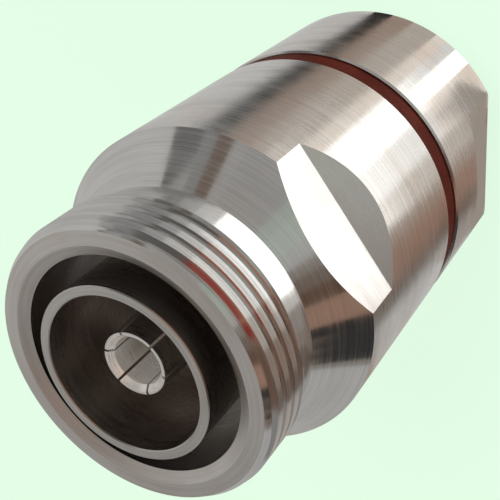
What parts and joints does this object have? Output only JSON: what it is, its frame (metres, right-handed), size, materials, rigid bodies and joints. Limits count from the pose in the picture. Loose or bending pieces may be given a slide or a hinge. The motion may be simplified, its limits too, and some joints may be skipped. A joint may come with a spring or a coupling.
{
  "type": "coaxial cable connector",
  "caption": "Round clamp-type coaxial connector for feeder cable: threaded female mating end with slotted socket, stepped barrel with spanner flats, and a screwed back nut.",
  "frame": {"origin": "centre of the back nut's rear face, where the connector stands", "axes": "+Z along the cable axis towards the mating end; -Y points out of one of the front body's spanner flats"},
  "size_m": [0.035, 0.035, 0.0568],
  "materials": {
    "nickel_plated_brass": "bright white-bronze plate over turned brass",
    "silver_plated_copper": "silver plate, satin",
    "white_fluoropolymer": "machined matt",
    "spring_steel": "drawn wire",
    "red_silicone": "moulded, slightly glossy"
  },
  "bodies": {
    "front": {"front_body": "nickel_plated_brass", "outer_contact": "nickel_plated_brass", "front_insulator": "white_fluoropolymer", "rear_insulator": "white_fluoropolymer", "insulator_ring": "nickel_plated_brass", "socket_contact": "silver_plated_copper", "inner_conductor": "silver_plated_copper", "cable_contact": "silver_plated_copper", "contact_spring_ring": "spring_steel"},
    "clamp": {"clamp_segment_1": "nickel_plated_brass", "clamp_segment_2": "nickel_plated_brass", "clamp_segment_3": "nickel_plated_brass", "clamp_segment_4": "nickel_plated_brass", "clamp_spring_ring": "spring_steel", "thrust_washer": "nickel_plated_brass"},
    "nut": {"back_nut": "nickel_plated_brass", "joint_seal": "red_silicone", "jacket_gasket": "red_silicone"}
  },
  "joints": [
    {"name": "clamp_travel", "type": "slide", "parent": "front", "child": "clamp", "axis": [0, 0, -1], "range_m": [0, 0.0075]},
    {"name": "nut_turn", "type": "hinge", "parent": "clamp", "child": "nut", "pos_m": [0, 0, 0], "axis": [0, 0, -1], "range_deg": [0, 1800]}
  ],
  "couplings": [
    {"joint": "clamp_travel", "follows": "nut_turn", "m_per_rad": 0.00023873}
  ]
}
